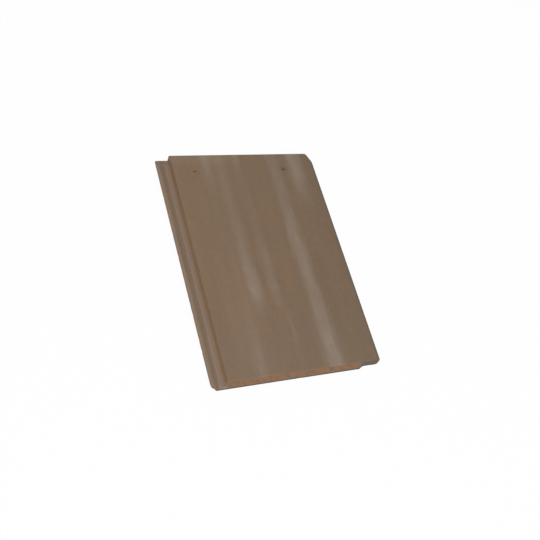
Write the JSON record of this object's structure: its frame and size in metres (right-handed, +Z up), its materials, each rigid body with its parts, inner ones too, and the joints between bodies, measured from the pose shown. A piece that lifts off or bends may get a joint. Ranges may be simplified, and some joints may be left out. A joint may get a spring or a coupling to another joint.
{
  "type": "flat interlocking concrete roof tile",
  "caption": "Flat concrete roof tile with a side lock: lower water channel along the left edge, cover flange along the right, nail holes at the head and lugs below.",
  "frame": {"origin": "on the floor plane, under the middle of the tile's box", "axes": "+X across the tile from the water channel to the cover flange, +Y along it from the nose to the head, +Z up through the top face"},
  "size_m": [0.305, 0.432, 0.023],
  "materials": {
    "concrete": "brown through-coloured concrete with a matt slurry face and pale grey streaks along the tile"
  },
  "bodies": {
    "root": {"roof_tile": "concrete"}
  },
  "joints": []
}
